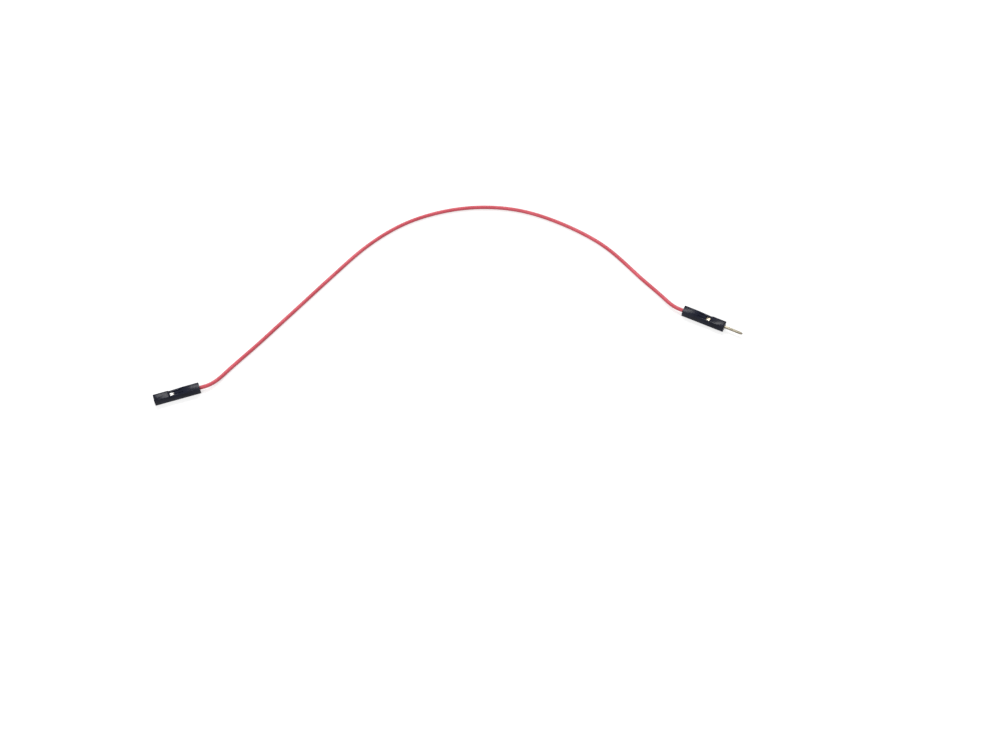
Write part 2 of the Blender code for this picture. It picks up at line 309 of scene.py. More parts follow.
@dataclass(frozen=True)
class MouldedPlastic:
    """Black plastic of the housings, with the grain of its mould and rubbed edges; sizes in mm."""

    name: str = "moulded_black_plastic"
    dark: Colour = (0.003, 0.004, 0.012)
    pale: Colour = (0.007, 0.009, 0.022)
    rubbed: Colour = (0.036, 0.040, 0.054)
    roughness: float = 0.22
    roughness_range: float = 0.10
    specular: float = 0.11
    cloud_size: float = 2.2
    cloud_band: Band = (0.3, 0.7)
    cloud_depth: float = 0.01
    grain_size: float = 0.09
    grain_depth: float = 0.0035
    octaves: float = 3.0
    edge_width: float = 0.20
    rub_size: float = 0.6
    rub_band: Band = (0.35, 0.75)
    rub_share: float = 0.7
    rub_gloss: float = 0.06

    def edge_mask(self, where: Signal, length: float, side: float) -> Signal:
        """How near a point is to one of the twelve outer edges.

        Args:
            where: The point, in millimetres.
            length: The housing's length.
            side: The width of its square section.

        Returns:
            0 on the open faces and 1 on the edges.
        """
        x, y, z = where.axes()
        across, up = abs(y), abs(z)
        along = abs(x - length / 2) - (length - side) / 2
        second = across.least(up).most(along.least(across.most(up)))
        return second.between(side / 2 - self.edge_width, side / 2)

    def material(self, length: float, side: float) -> bpy.types.Material:
        """Build the material for a housing of a given size.

        Args:
            length: The housing's length, in millimetres.
            side: The width of its square section, in millimetres.

        Returns:
            The material.
        """
        recipe = Recipe(bpy.data.materials.new(self.name))
        where = recipe.place()
        clouds = recipe.noise(where, self.cloud_size, self.octaves)
        grain = recipe.noise(where, self.grain_size, self.octaves)
        patches = recipe.noise(where, self.rub_size).between(*self.rub_band)
        edges = self.edge_mask(where, length, side) * patches
        body = recipe.mixed(clouds.between(*self.cloud_band), self.dark, self.pale)
        colour = recipe.mixed(edges * self.rub_share, body, self.rubbed)
        rough = self.roughness + (clouds - 0.5) * self.roughness_range - edges * self.rub_gloss
        waves = recipe.bump(clouds, self.cloud_depth)
        return recipe.dress(
            {"Specular IOR Level": self.specular},
            {"Base Color": colour, "Roughness": rough,
             "Normal": recipe.bump(grain, self.grain_depth, waves)})


@dataclass(frozen=True)
class ExtrudedVinyl:
    """Soft vinyl of the insulation, with faint draw lines along it; sizes in mm."""

    name: str = "extruded_red_vinyl"
    deep: Colour = (0.570, 0.068, 0.096)
    light: Colour = (0.650, 0.093, 0.126)
    dust: Colour = (0.74, 0.22, 0.24)
    roughness: float = 0.40
    roughness_range: float = 0.14
    specular: float = 0.38
    cloud_size: float = 6.0
    cloud_band: Band = (0.3, 0.7)
    grain_size: float = 0.12
    grain_depth: float = 0.014
    grain_octaves: float = 3.0
    line_count: float = 9.0
    line_change: float = 0.08
    line_depth: float = 0.012
    line_roughness: float = 0.10
    dust_size: float = 0.35
    dust_octaves: float = 1.0
    dust_band: Band = (0.70, 0.78)
    dust_share: float = 0.10

    def material(self) -> bpy.types.Material:
        """Build the material.

        Returns:
            The material.
        """
        recipe = Recipe(bpy.data.materials.new(self.name))
        where = recipe.place()
        clouds = recipe.noise(where, self.cloud_size)
        grain = recipe.noise(where, self.grain_size, self.grain_octaves)
        run = recipe.node("Attribute", {"attribute_name": "run"}, {}, "Fac")
        turn = recipe.node("Attribute", {"attribute_name": "turn"}, {}, "Vector")
        stretched = turn * (self.line_count, self.line_count, 1.0)
        drawn = stretched + recipe.node("CombineXYZ", {}, {"Z": run * self.line_change})
        lines = recipe.noise(drawn, 1.0)
        dusty = recipe.noise(where, self.dust_size, self.dust_octaves).between(*self.dust_band)
        body = recipe.mixed(clouds.between(*self.cloud_band), self.deep, self.light)
        colour = recipe.mixed(dusty * self.dust_share, body, self.dust)
        rough = (self.roughness + (grain - 0.5) * self.roughness_range
                 + (lines - 0.5) * self.line_roughness)
        relief = recipe.bump(lines, self.line_depth)
        return recipe.dress(
            {"Specular IOR Level": self.specular},
            {"Base Color": colour, "Roughness": rough,
             "Normal": recipe.bump(grain, self.grain_depth, relief)})


@dataclass(frozen=True)
class Plating:
    """Metal of the contacts and strands, with lines along it and duller patches; sizes in mm."""

    name: str
    bright: Colour
    dull: Colour
    roughness: float
    line_roughness: float = 0.16
    line_depth: float = 0.0012
    lines_per_mm: Point3 = (0.6, 14.0, 14.0)
    patch_size: float = 0.9
    patch_octaves: float = 3.0
    patch_band: Band = (0.35, 0.72)
    patch_roughness: float = 0.10

    def material(self) -> bpy.types.Material:
        """Build the material.

        Returns:
            The material.
        """
        recipe = Recipe(bpy.data.materials.new(self.name))
        where = recipe.place()
        patches = recipe.noise(where, self.patch_size, self.patch_octaves)
        lines = recipe.noise(where * self.lines_per_mm, 1.0)
        colour = recipe.mixed(patches.between(*self.patch_band), self.bright, self.dull)
        rough = (self.roughness + (lines - 0.5) * self.line_roughness
                 + (patches - 0.5) * self.patch_roughness)
        return recipe.dress(
            {"Metallic": 1.0},
            {"Base Color": colour, "Roughness": rough,
             "Normal": recipe.bump(lines, self.line_depth)})


PLASTIC = MouldedPlastic()
VINYL = ExtrudedVinyl()
TIN = Plating("tin_plate", (0.42, 0.42, 0.41), (0.28, 0.28, 0.27), roughness=0.42)
GILT = Plating("thin_gilt", (0.31, 0.28, 0.215), (0.20, 0.175, 0.13), roughness=0.32)
CUT_EDGE = Plating("sheared_bronze_edge", (0.72, 0.50, 0.30), (0.52, 0.36, 0.22), roughness=0.38)
COPPER = Plating("drawn_copper", (0.86, 0.47, 0.32), (0.66, 0.30, 0.18), roughness=0.26)


@dataclass(frozen=True)
class Seat:
    """Where a connector lies on the table, in metres and radians."""

    rear: Point2
    heading: float
    height: float

    def direction(self) -> np.ndarray:
        """The way that the mating face looks, over the table."""
        return np.array([math.cos(self.heading), math.sin(self.heading)])

    def matrix(self) -> Matrix:
        """From the connector's frame to the row frame, both in metres."""
        turn = Matrix.Rotation(self.heading, 4, "Z")
        return Matrix.Translation((*self.rear, self.height)) @ turn


def stand_for(piece: bpy.types.Object, node: str) -> None:
    """Let a piece ride on the part, in the place of one of its solids.

    Args:
        piece: The piece.
        node: The solid that it stands for.
    """
    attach(piece, ROOT)
    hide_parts(node)


def eased(share: float) -> float:
    """A share from 0 to 1, with a soft start and a soft end."""
    return share * share * (3 - 2 * share)


def mesh_from(work: bmesh.types.BMesh, name: str) -> bpy.types.Mesh:
    """Keep a finished bmesh as a mesh.

    Args:
        work: The bmesh, which is freed.
        name: The mesh's name.

    Returns:
        The mesh.
    """
    mesh = bpy.data.meshes.new(name)
    work.to_mesh(mesh)
    work.free()
    return mesh


def ring_mesh(name: str, rings: Sequence[Ring], capped: bool = True,
              looped: bool = False) -> bpy.types.Mesh:
    """Skin a row of closed rings that all have as many points.

    Args:
        name: The mesh's name.
        rings: The rings, in order.
        capped: Whether the first and the last ring are closed by a face.
        looped: Whether the last ring joins the first one.

    Returns:
        The mesh.
    """
    work = bmesh.new()
    rows = [[work.verts.new(point) for point in ring] for ring in rings]
    count = len(rows[0])
    pairs = list(zip(rows, rows[1:]))
    if looped:
        pairs.append((rows[-1], rows[0]))
    for near, far in pairs:
        for i in range(count):
            j = (i + 1) % count
            work.faces.new((near[i], near[j], far[j], far[i]))
    if capped:
        work.faces.new(reversed(rows[0]))
        work.faces.new(rows[-1])
    bmesh.ops.recalc_face_normals(work, faces=work.faces)
    return mesh_from(work, name)


def rounded_rectangle(half_width: float, half_height: float, radius: float) -> list[Point2]:
    """Points round a rectangle with rounded corners.

    Args:
        half_width: Half its width.
        half_height: Half its height.
        radius: The radius of its corners.

    Returns:
        The points, anticlockwise, CORNER_POINTS at each corner.
    """
    points = []
    for corner, (side, end) in enumerate([(1, 1), (-1, 1), (-1, -1), (1, -1)]):
        centre = (side * (half_width - radius), end * (half_height - radius))
        for angle in np.radians(np.linspace(90 * corner, 90 * corner + 90, CORNER_POINTS)):
            points.append((centre[0] + radius * math.cos(angle), centre[1] + radius * math.sin(angle)))
    return points


def tube_along(stations: Iterable[tuple[float, float, float, float]]) -> list[Ring]:
    """Rings of rounded rectangles along x.

    Args:
        stations: The x, half width, half height and corner radius of each ring.

    Returns:
        The rings.
    """
    return [[(x, y, z) for y, z in rounded_rectangle(width, height, radius)]
            for x, width, height, radius in stations]


def extruded(outline: Sequence[Point2], half_width: float) -> list[Ring]:
    """Rings of an (x, z) outline, from one side to the other."""
    return [[(x, y, z) for x, z in outline] for y in (-half_width, half_width)]


def circle(centre: np.ndarray, radius: float, across: np.ndarray, upward: np.ndarray,
           sides: int) -> Ring:
    """Points round a circle.

    Args:
        centre: Its centre.
        radius: Its radius.
        across: A unit vector in its plane.
        upward: Another one, square to the first.
        sides: How many points.

    Returns:
        The points.
    """
    angles = np.linspace(0.0, 2 * math.pi, sides, endpoint=False)
    return [tuple(centre + radius * (math.cos(a) * across + math.sin(a) * upward)) for a in angles]


class Workpiece:
    """A body in a connector's frame, in millimetres, that tools cut or join."""

    SLIVER = 0.002
    SMOOTH_UNDER = math.radians(35.0)

    def __init__(self, mesh: bpy.types.Mesh) -> None:
        """Put the body in the scene.

        Args:
            mesh: Its mesh.
        """
        self.body = self.placed(mesh)
        self.tools: list[bpy.types.Object] = []

    @staticmethod
    def placed(mesh: bpy.types.Mesh) -> bpy.types.Object:
        """Put a mesh in the scene.

        Args:
            mesh: The mesh.

        Returns:
            Its object, at the origin.
        """
        made = bpy.data.objects.new(mesh.name, mesh)
        bpy.context.scene.collection.objects.link(made)
        return made

    def work(self, cut: Cut, mesh: bpy.types.Mesh) -> None:
        """Cut a form away, or join it on.

        Args:
            cut: What the tool does.
            mesh: The tool's form.
        """
        tool = self.placed(mesh)
        self.tools.append(tool)
        change = self.body.modifiers.new(mesh.name, "BOOLEAN")
        change.operation = cut.value
        change.object = tool
        change.solver = "EXACT"

    def thicken(self, thickness: float) -> None:
        """Turn an open surface into sheet, whose cut edges take the second material.

        Args:
            thickness: The sheet's thickness.
        """
        wall = self.body.modifiers.new("sheet", "SOLIDIFY")
        wall.thickness = thickness
        wall.offset = 0.0
        wall.use_even_offset = True
        wall.material_offset_rim = 1

    def soften(self, radius: float, over: float, segments: int) -> None:
        """Round every edge that is sharper than an angle.

        Args:
            radius: The width of the rounding.
            over: The angle, in degrees.
            segments: The segments of the rounding.
        """
        rounding = self.body.modifiers.new("soft_edges", "BEVEL")
        rounding.width = radius
        rounding.segments = segments
        rounding.limit_method = "ANGLE"
        rounding.angle_limit = math.radians(over)
        rounding.use_clamp_overlap = False
        rounding.miter_outer = "MITER_ARC"

    def finish(self, name: str, seat: Seat) -> bpy.types.Object:
        """Apply everything and lay the piece in its place.

        Args:
            name: The piece's name.
            seat: Where its connector lies.

        Returns:
            The piece, in metres.
        """
        slivers = self.body.modifiers.new("slivers", "WELD")
        slivers.merge_threshold = self.SLIVER
        shading = self.body.modifiers.new("shading", "WEIGHTED_NORMAL")
        shading.keep_sharp = True
        bpy.context.view_layer.update()
        graph = bpy.context.evaluated_depsgraph_get()
        mesh = bpy.data.meshes.new_from_object(
            self.body.evaluated_get(graph), preserve_all_data_layers=True, depsgraph=graph)
        mesh.transform(Matrix.Scale(MM, 4))
        mesh.name = name
        for used in [*self.tools, self.body]:
            bpy.data.objects.remove(used)
        mesh.shade_smooth()
        mesh.set_sharp_from_angle(angle=self.SMOOTH_UNDER)
        made = self.placed(mesh)
        made.matrix_world = seat.matrix()
        return made


@dataclass(frozen=True)
class ConnectorPiece:
    """A piece of a connector: its name, the solid that it stands for and where it lies."""

    name: str
    node: str
    seat: Seat


@dataclass(frozen=True)
class HousingSizes:
    """Sizes of a latch housing, in millimetres, its angles in degrees and its counts."""

    length: float = 14.0
    side: float = 2.54
    edge: float = 0.12
    edge_rings: int = 5
    least_corner: float = 0.03
    front_wall: float = 0.9
    funnel_depth: float = 0.4
    funnel_flare: float = 0.28
    funnel_corner: float = 0.12
    mouth_side: float = 0.94
    mouth_corner: float = 0.08
    chamber_width: float = 1.58
    chamber_height: float = 1.48
    chamber_corner: float = 0.15
    rear_bore: float = 1.74
    rear_corner: float = 0.25
    rear_flare: float = 0.10
    flare_corner: float = 0.3
    bore_step: float = 4.28
    step_taper: float = 0.15
    tongue_root: float = 5.08
    tongue_tip: float = 7.78
    tongue_width: float = 0.9
    tongue_slot: float = 0.2
    tongue_nose: float = 0.2
    nose_back: float = 0.06
    nose_fall: float = 0.03
    nose_drop: float = 0.10
    hook_foot: float = 0.42
    hook_corner: float = 0.04
    window_front: float = 8.98
    window_corner: float = 0.09
    ledge: float = 0.17
    recess_ramp: float = 0.7
    recess_step: float = 0.1
    ramp_points: int = 9
    ramp_past: float = 0.02
    overlap: float = 0.2
    fillet: float = 0.03
    fillet_over: float = 40.0
    fillet_segments: int = 2
    gate_radius: float = 0.32
    gate_depth: float = 0.10
    gate_stub: float = 0.16
    gate_inset: float = 0.03
    gate_sides: int = 24


@dataclass(frozen=True)
class Housing(ConnectorPiece):
    """Latch housing of one connector, moulded in one piece."""

    sizes: HousingSizes = HousingSizes()

    def block(self) -> bpy.types.Mesh:
        """Form the outer block, with round edges.

        Returns:
            The block.
        """
        s = self.sizes
        half = s.side / 2
        rear = []
        for angle in np.radians(np.linspace(0.0, 90.0, s.edge_rings)):
            inset = s.edge * (1 - math.sin(angle))
            radius = max(s.edge * math.sin(angle), s.least_corner)
            rear.append((s.edge * (1 - math.cos(angle)), half - inset, half - inset, radius))
        front = [(s.length - x, width, height, radius) for x, width, height, radius in reversed(rear)]
        return ring_mesh("block", tube_along(rear + front))

    def bore(self) -> bpy.types.Mesh:
        """Form the way through: rear bore, chamber, mouth and the funnels at both ends.

        Returns:
            The tool that cuts it.
        """
        s = self.sizes
        chamber_front = s.length - s.front_wall
        funnel_rear = s.length - s.funnel_depth
        rear, mouth = s.rear_bore / 2, s.mouth_side / 2
        past = mouth + s.funnel_flare * (s.funnel_depth + s.overlap) / s.funnel_depth
        wide = rear + s.rear_flare + s.overlap
        width, height = s.chamber_width / 2, s.chamber_height / 2
        return ring_mesh("bore", tube_along([
            (-s.overlap, wide, wide, s.flare_corner),
            (s.rear_flare, rear, rear, s.rear_corner),
            (s.bore_step, rear, rear, s.rear_corner),
            (s.bore_step + s.step_taper, width, height, s.chamber_corner),
            (chamber_front, width, height, s.chamber_corner),
            (chamber_front, mouth, mouth, s.mouth_corner),
            (funnel_rear, mouth, mouth, s.mouth_corner),
            (s.length + s.overlap, past, past, s.funnel_corner),
        ]))

    def latch_opening(self) -> bpy.types.Mesh:
        """Form the opening in the top wall: two slots beside the tongue, and the window.

        Returns:
            The tool that cuts it.
        """
        s = self.sizes
        middle = (s.tongue_root + s.window_front) / 2
        plan = rounded_rectangle((s.window_front - s.tongue_root) / 2,
                                 s.tongue_width / 2 + s.tongue_slot, s.window_corner)
        return ring_mesh("latch_opening", [
            [(middle + x, y, z) for x, y in plan] for z in (s.side / 4, s.side * 3 / 4)])

    def recess(self) -> bpy.types.Mesh:
        """Form the sloping floor across the top wall, with a soft ramp up to the front block.

        Returns:
            The tool that cuts it.
        """
        s = self.sizes
        half, foot = s.side / 2, s.chamber_height / 2 + s.ledge
        rise = half + s.ramp_past - foot
        ramp = [(s.window_front + t * s.recess_ramp, foot + rise * eased(t))
                for t in np.linspace(0.0, 1.0, s.ramp_points)]
        return ring_mesh("recess", extruded([
            (s.tongue_root, half - s.recess_step),
            *ramp,
            (s.window_front + s.recess_ramp, half + s.recess_step),
            (s.tongue_root, half + s.recess_step),
        ], half + s.overlap))

    def tongue(self) -> bpy.types.Mesh:
        """Form the latch tongue, whose hook reaches down behind the contact's box.

        Returns:
            The tongue.
        """
        s = self.sizes
        ceiling = s.chamber_height / 2
        top = ceiling + s.ledge
        root_top = s.side / 2 - s.recess_step
        return ring_mesh("tongue", extruded([
            (s.tongue_root - s.overlap, root_top),
            (s.tongue_root, root_top),
            (s.tongue_tip - s.tongue_nose, top),
            (s.tongue_tip - s.nose_back, top - s.nose_fall),
            (s.tongue_tip, top - s.nose_drop),
            (s.tongue_tip, s.hook_foot + s.hook_corner),
            (s.tongue_tip - s.hook_corner, s.hook_foot),
            (s.tongue_tip - s.tongue_nose, s.hook_foot),
            (s.tongue_root, ceiling),
            (s.tongue_root - s.overlap, ceiling),
        ], s.tongue_width / 2))

    def gate(self) -> bpy.types.Mesh:
        """Form the round dip in the floor wall where the plastic came in, round a short stub.

        Returns:
            The tool that cuts it.
        """
        s = self.sizes
        x, floor = s.tongue_root - s.side / 2, -s.side / 2
        profile = [(s.gate_radius, floor - s.overlap), (s.gate_radius, floor + s.gate_depth),
                   (s.gate_stub, floor + s.gate_depth), (s.gate_stub, floor + s.gate_inset)]
        angles = np.radians(np.linspace(0.0, 360.0, s.gate_sides, endpoint=False))
        return ring_mesh("gate", [
            [(x + r * math.cos(a), r * math.sin(a), z) for a in angles] for r, z in profile])

    def build(self) -> bpy.types.Object:
        """Mould the housing and give it its plastic.

        Returns:
            The piece.
        """
        s = self.sizes
        job = Workpiece(self.block())
        job.work(Cut.AWAY, self.bore())
        job.work(Cut.AWAY, self.latch_opening())
        job.work(Cut.AWAY, self.recess())
        job.work(Cut.ON, self.tongue())
        job.work(Cut.AWAY, self.gate())
        job.soften(s.fillet, s.fillet_over, s.fillet_segments)
        made = job.finish(self.name, self.seat)
        made.data.materials.append(PLASTIC.material(s.length, s.side))
        stand_for(made, self.node)
        return made


@dataclass(frozen=True)
class ContactSizes:
    """Sizes of a pressed contact, in millimetres, its angles in degrees and its counts."""

    sheet: float = 0.2
    fold_radius: float = 0.2
    box_width: float = 1.5
    box_height: float = 1.4
    box_seam: float = 0.05
    seam_land: float = 0.1
    low_wall: float = 0.5
    box_rear: float = 7.83
    tab_rear: float = 1.7
    barrel_rear: float = 2.0
    barrel_front: float = 3.7
    barrel_radius: float = 0.73
    barrel_shoulder: float = -2.5
    barrel_end: float = 85.0
    neck_rear: float = 3.93
    crimp_rear: float = 4.63
    crimp_front: float = 6.33
    crimp_radius: float = 0.34
    crimp_belly: float = -25.0
    crimp_lobe: float = 0.155
    crimp_inner: float = 0.11
    crimp_shoulder: float = 0.24
    bell: float = 0.035
    bell_length: float = 0.2
    edge: float = 0.02
    edge_over: float = 60.0
    edge_segments: int = 1
    straight_rows: int = 5
    throat_rows: int = 5


class Section(Enum):
    """The forms that the folded sheet takes along a contact."""

    BARREL = "barrel"
    CRIMP = "crimp"
    BOX = "box"


@dataclass(frozen=True)
class Contact(ConnectorPiece):
    """What both contacts share: one folded sheet with a barrel, a crimp, a throat and a box."""

    CHANNEL = 8
    WING = 10

    sizes: ContactSizes = ContactSizes()

    @staticmethod
    def arc(centre: Point2, radius: float, start: float, stop: float, count: int) -> list[Point2]:
        """Points on an arc in the (y, z) plane.

        Args:
            centre: The arc's centre.
            radius: Its radius.
            start: Its first angle, in degrees.
            stop: Its last angle, in degrees.
            count: How many points.

        Returns:
            The points.
        """
        angles = np.radians(np.linspace(start, stop, count))
        return [(centre[0] + radius * math.cos(a), centre[1] + radius * math.sin(a)) for a in angles]

    def half(self, section: Section, swell: float = 0.0) -> list[Point2]:
        """Half of a section, from the middle of its floor to the tip of its wing.

        Args:
            section: Which section.
            swell: How much a crimp opens at its bell mouth.

        Returns:
            CHANNEL + WING + 1 points.
        """
        s = self.sizes
        if section is Section.BARREL:
            middle, shoulder = (0.0, 0.0), s.barrel_shoulder
            low = self.arc(middle, s.barrel_radius, -90.0, shoulder, self.CHANNEL + 1)
            return low + self.arc(middle, s.barrel_radius, shoulder, s.barrel_end, self.WING + 1)[1:]
        if section is Section.CRIMP:
            belly = self.arc((0.0, 0.0), s.crimp_radius + swell, -90.0, s.crimp_belly, self.CHANNEL - 1)
            lobe = (s.crimp_inner + s.crimp_lobe + swell, s.crimp_shoulder + swell)
            wing = self.arc(lobe, s.crimp_lobe, 0.0, 180.0, self.WING + 1)
            side = ((belly[-1][0] + 2 * wing[0][0]) / 3, (belly[-1][1] + wing[0][1]) / 2)
            return belly + [side] + wing
        a, b, r = (s.box_width - s.sheet) / 2, (s.box_height - s.sheet) / 2, s.fold_radius
        floor = [(0.0, -b)] + self.arc((a - r, r - b), r, -90.0, 0.0, self.CHANNEL - 1)
        roof = self.arc((a - r, b - r), r, 0.0, 90.0, self.WING - 2)
        seam = s.box_seam / 2
        return floor + [(a, s.low_wall - b)] + roof + [(seam + s.seam_land, b), (seam, b)]

    def stations(self, box_front: float) -> list[tuple[float, list[Point2], int]]:
        """The x, half section and reach of each row of points along the sheet.

        Args:
            box_front: Where the box ends.

        Returns:
            The rows. Two rows at one x change the reach.
        """
        s = self.sizes
        low, high = self.CHANNEL, self.CHANNEL + self.WING
        barrel, crimp = self.half(Section.BARREL), self.half(Section.CRIMP)
        bell, box = self.half(Section.CRIMP, s.bell), self.half(Section.BOX)
        rows = [(s.tab_rear, barrel, 2), (s.barrel_rear, barrel, 2), (s.barrel_rear, barrel, high)]
        rows += [(x, barrel, high)
                 for x in np.linspace(s.barrel_rear, s.barrel_front, s.straight_rows)[1:]]
        rows += [(s.barrel_front, barrel, low), (s.neck_rear, barrel, low)]
        rows += self.passage(barrel, bell, s.neck_rear, s.crimp_rear)
        rows += [(s.crimp_rear, bell, high), (s.crimp_rear + s.bell_length, crimp, high)]
        rows += [(s.crimp_front - s.bell_length, crimp, high), (s.crimp_front, bell, high)]
        rows += [(s.crimp_front, bell, low)]
        rows += self.passage(bell, box, s.crimp_front, (s.crimp_front + s.box_rear) / 2)
        rows += [(s.box_rear, box, low), (s.box_rear, box, high)]
        rows += [(x, box, high) for x in np.linspace(s.box_rear, box_front, s.straight_rows)[1:]]
        return rows

    def passage(self, first: list[Point2], last: list[Point2], start: float,
                stop: float) -> list[tuple[float, list[Point2], int]]:
        """Rows of an open channel that pass smoothly from one section to another.

        Args:
            first: The section at the start.
            last: The section at the end.
            start: Where the change starts.
            stop: Where it ends.

        Returns:
            The rows after the first one.
        """
        rows = []
        for t in np.linspace(0.0, 1.0, self.sizes.throat_rows + 1)[1:]:
            ease = eased(t)
            mixed = [((1 - ease) * y0 + ease * y1, (1 - ease) * z0 + ease * z1)
                     for (y0, z0), (y1, z1) in zip(first, last)]
            rows.append((start + t * (stop - start), mixed, self.CHANNEL))
        return rows

    def sheet(self, box_front: float) -> tuple[bmesh.types.BMesh, list[bmesh.types.BMVert]]:
        """The sheet as an open surface.

        Args:
            box_front: Where the box ends.

        Returns:
            The surface, and the points of its front edge.
        """
        work = bmesh.new()
        middle = self.CHANNEL + self.WING
        grid = {}
        stations = self.stations(box_front)
        for x, half, _ in stations:
            if x not in grid:
                whole = [(-y, z) for y, z in reversed(half[1:])] + half
                grid[x] = [work.verts.new((x, y, z)) for y, z in whole]
        for (x0, _, reach0), (x1, _, reach1) in zip(stations, stations[1:]):
            if x0 == x1:
                continue
            reach = min(reach0, reach1)
            for i in range(middle - reach, middle + reach):
                work.faces.new((grid[x0][i], grid[x0][i + 1], grid[x1][i + 1], grid[x1][i]))
        return work, grid[stations[-1][0]]

    def folded(self, work: bmesh.types.BMesh) -> Workpiece:
        """Give the surface its thickness, without the points that no face uses.

        Args:
            work: The surface.

        Returns:
            The sheet.
        """
        for vertex in [v for v in work.verts if not v.link_faces]:
            work.verts.remove(vertex)
        job = Workpiece(mesh_from(work, "sheet"))
        job.thicken(self.sizes.sheet)
        return job

    def plated(self, job: Workpiece, plating: Plating, slot: str) -> bpy.types.Object:
        """Round the contact's edges, give it its plating and seat it.

        Args:
            job: The contact, in millimetres.
            plating: The finish of its faces.
            slot: The record's material slot. Not used.

        Returns:
            The piece.
        """
        job.soften(self.sizes.edge, self.sizes.edge_over, self.sizes.edge_segments)
        for look in (plating, CUT_EDGE):
            job.body.data.materials.append(look.material())
        made = job.finish(self.name, self.seat)
        stand_for(made, self.node)
        return made


@dataclass(frozen=True)
class LeafSizes:
    """Sizes of the spring leaf, in millimetres, and its counts."""

    bend: float = 0.17
    bend_rows: int = 8
    length: float = 3.6
    width: float = 0.8
    tip_width: float = 0.55
    bow: float = 0.11
    curl: float = 0.05
    curl_start: float = 0.85
    rows: int = 10


@dataclass(frozen=True)
class SocketContact(Contact):
    """Contact with a box and a spring leaf that a square pin slides into."""

    box_front: float = 12.79
    leaf: LeafSizes = LeafSizes()

    def add_leaf(self, work: bmesh.types.BMesh, edge: list[bmesh.types.BMVert]) -> None:
        """Carry the floor on past the front edge, back through a half circle, and along inside.

        Args:
            work: The sheet.
            edge: The points of the floor's front edge, which the leaf starts from.
        """
        leaf, floor = self.leaf, edge[len(edge) // 2].co.z
        rows = [(self.box_front + leaf.bend * math.sin(a), floor + leaf.bend * (1 - math.cos(a)),
                 leaf.width) for a in np.linspace(0.0, math.pi, leaf.bend_rows + 1)[1:]]
        for t in np.linspace(0.0, 1.0, leaf.rows + 1)[1:]:
            curl = leaf.curl * max(0.0, (t - leaf.curl_start) / (1 - leaf.curl_start)) ** 2
            height = leaf.bow * math.sin(math.pi * t) - leaf.bow * t - curl
            width = leaf.width + (leaf.tip_width - leaf.width) * t
            rows.append((self.box_front - t * leaf.length, floor + 2 * leaf.bend + height, width))
        shares = np.linspace(-0.5, 0.5, len(edge))
        for x, z, width in rows:
            row = [work.verts.new((x, share * width, z)) for share in shares]
            for i in range(len(edge) - 1):
                work.faces.new((edge[i], edge[i + 1], row[i + 1], row[i]))
            edge = row

    def build(self) -> bpy.types.Object:
        """Fold the contact.

        Returns:
            The piece.
        """
        work, front = self.sheet(self.box_front)
        middle = self.CHANNEL + self.WING
        self.add_leaf(work, front[middle - 1:middle + 2])
        return self.plated(self.folded(work), TIN, "socket_contact")


@dataclass(frozen=True)
class PinSizes:
    """Sizes of the square pin and the nose that carries it, in millimetres, and its counts."""

    side: float = 0.64
    edge: float = 0.05
    box_front: float = 11.33
    nose_length: float = 1.3
    nose_rings: int = 7
    reach: float = 20.0
    tip_length: float = 0.7
    tip_side: float = 0.36
    tip_round: float = 0.06
    end_side: float = 0.24
    overlap: float = 0.2
    seam: float = 0.03


@dataclass(frozen=True)
class PinContact(Contact):
    """Contact whose box closes to a nose that carries the square pin."""

    pin: PinSizes = PinSizes()

    def pin_mesh(self) -> bpy.types.Mesh:
        """Form the nose, the pin and its tapered tip, in one.

        Returns:
            The form.
        """
        s, p = self.sizes, self.pin
        half, tip, end = p.side / 2, p.tip_side / 2, p.end_side / 2
        inside = s.sheet / 4
        width, height = s.box_width / 2 - inside, s.box_height / 2 - inside
        stations = [(p.box_front - p.overlap, width, height, s.fold_radius)]
        for t in np.linspace(0.0, 1.0, p.nose_rings):
            stations.append((
                p.box_front + t * p.nose_length,
                width + (half - width) * eased(t),
                height + (half - height) * eased(t),
                s.fold_radius + (p.edge - s.fold_radius) * eased(t),
            ))
        stations += [
            (p.reach - p.tip_length, half, half, p.edge),
            (p.reach - p.tip_round, tip, tip, p.edge),
            (p.reach, end, end, p.edge / 2),
        ]
        return ring_mesh("pin", tube_along(stations))

    def seam_mesh(self) -> bpy.types.Mesh:
        """Form the line along the underside of the pin, where the two edges of its sheet meet.

        Returns:
            The tool that cuts it.
        """
        p = self.pin
        half, depth = p.side / 2, p.seam / 2
        start, stop = p.box_front + p.nose_length, p.reach - p.tip_length
        return ring_mesh("seam", extruded([
            (start, -half - p.overlap),
            (stop, -half - p.overlap),
            (stop, depth - half),
            (start, depth - half),
        ], p.seam / 2))

    def build(self) -> bpy.types.Object:
        """Fold the contact and join its pin on.

        Returns:
            The piece.
        """
        work, _ = self.sheet(self.pin.box_front)
        job = self.folded(work)
        job.work(Cut.ON, self.pin_mesh())
        job.work(Cut.AWAY, self.seam_mesh())
        return self.plated(job, GILT, "pin_contact")


